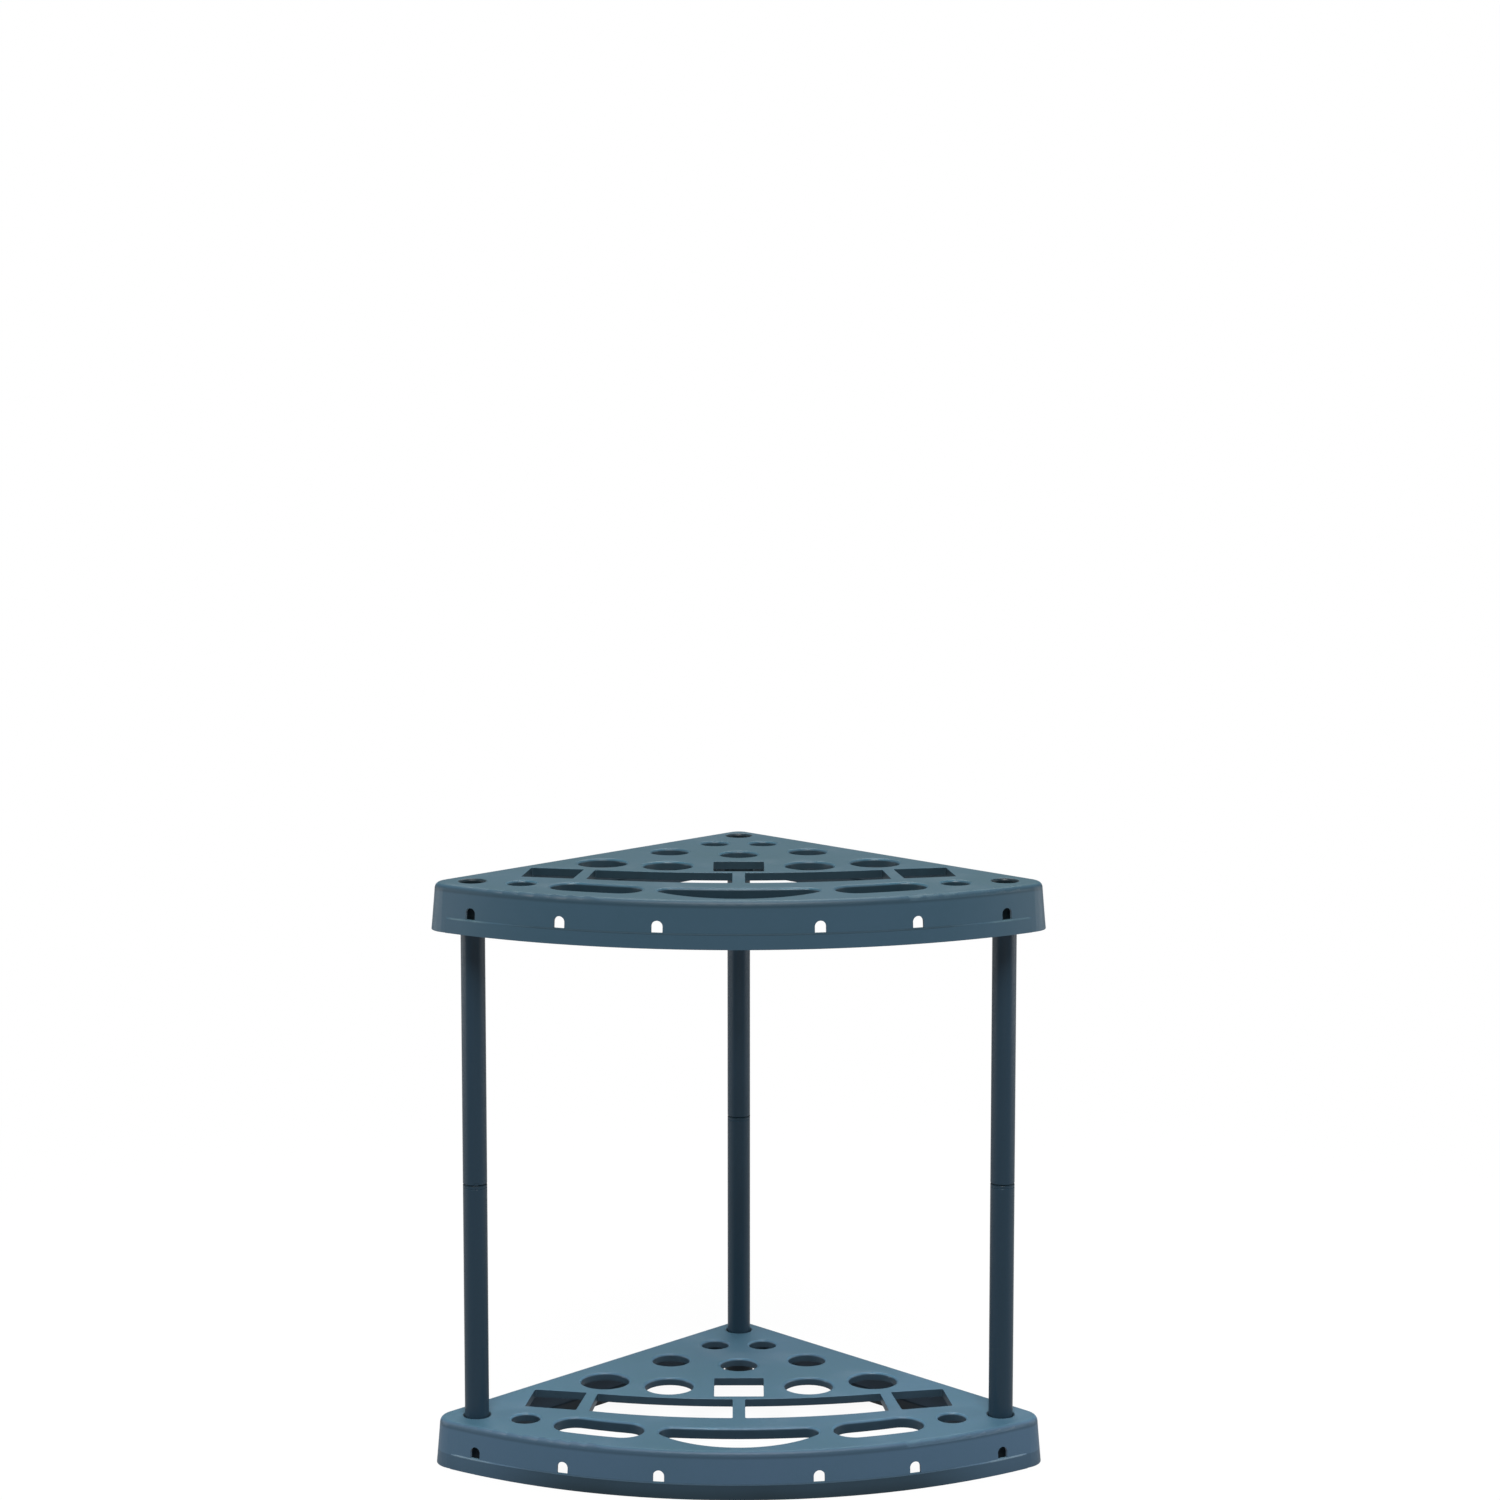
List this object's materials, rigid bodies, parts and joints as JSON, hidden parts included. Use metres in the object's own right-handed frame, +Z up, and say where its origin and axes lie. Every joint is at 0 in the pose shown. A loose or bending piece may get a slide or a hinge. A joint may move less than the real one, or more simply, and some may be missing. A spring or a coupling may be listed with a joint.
{
  "type": "garden tool rack",
  "caption": "Freestanding corner rack for garden tools: a fan-shaped tray with tool openings, held above a matching base tray by round push-together posts.",
  "frame": {"origin": "middle of the footprint's bounding box, on the floor", "axes": "+Z up, +X to the right along the bowed front, +Y from the bowed front to the back corner"},
  "size_m": [0.6, 0.4115, 0.583],
  "materials": {
    "tray_plastic": "fine satin texture, slate blue-green",
    "tube_plastic": "satin, darker slate blue-green"
  },
  "bodies": {
    "root": {"lower_tray": "tray_plastic", "upper_tray": "tray_plastic", "left_lower_tube": "tube_plastic", "left_upper_tube": "tube_plastic", "right_lower_tube": "tube_plastic", "right_upper_tube": "tube_plastic", "back_lower_tube": "tube_plastic", "back_upper_tube": "tube_plastic"}
  },
  "joints": []
}
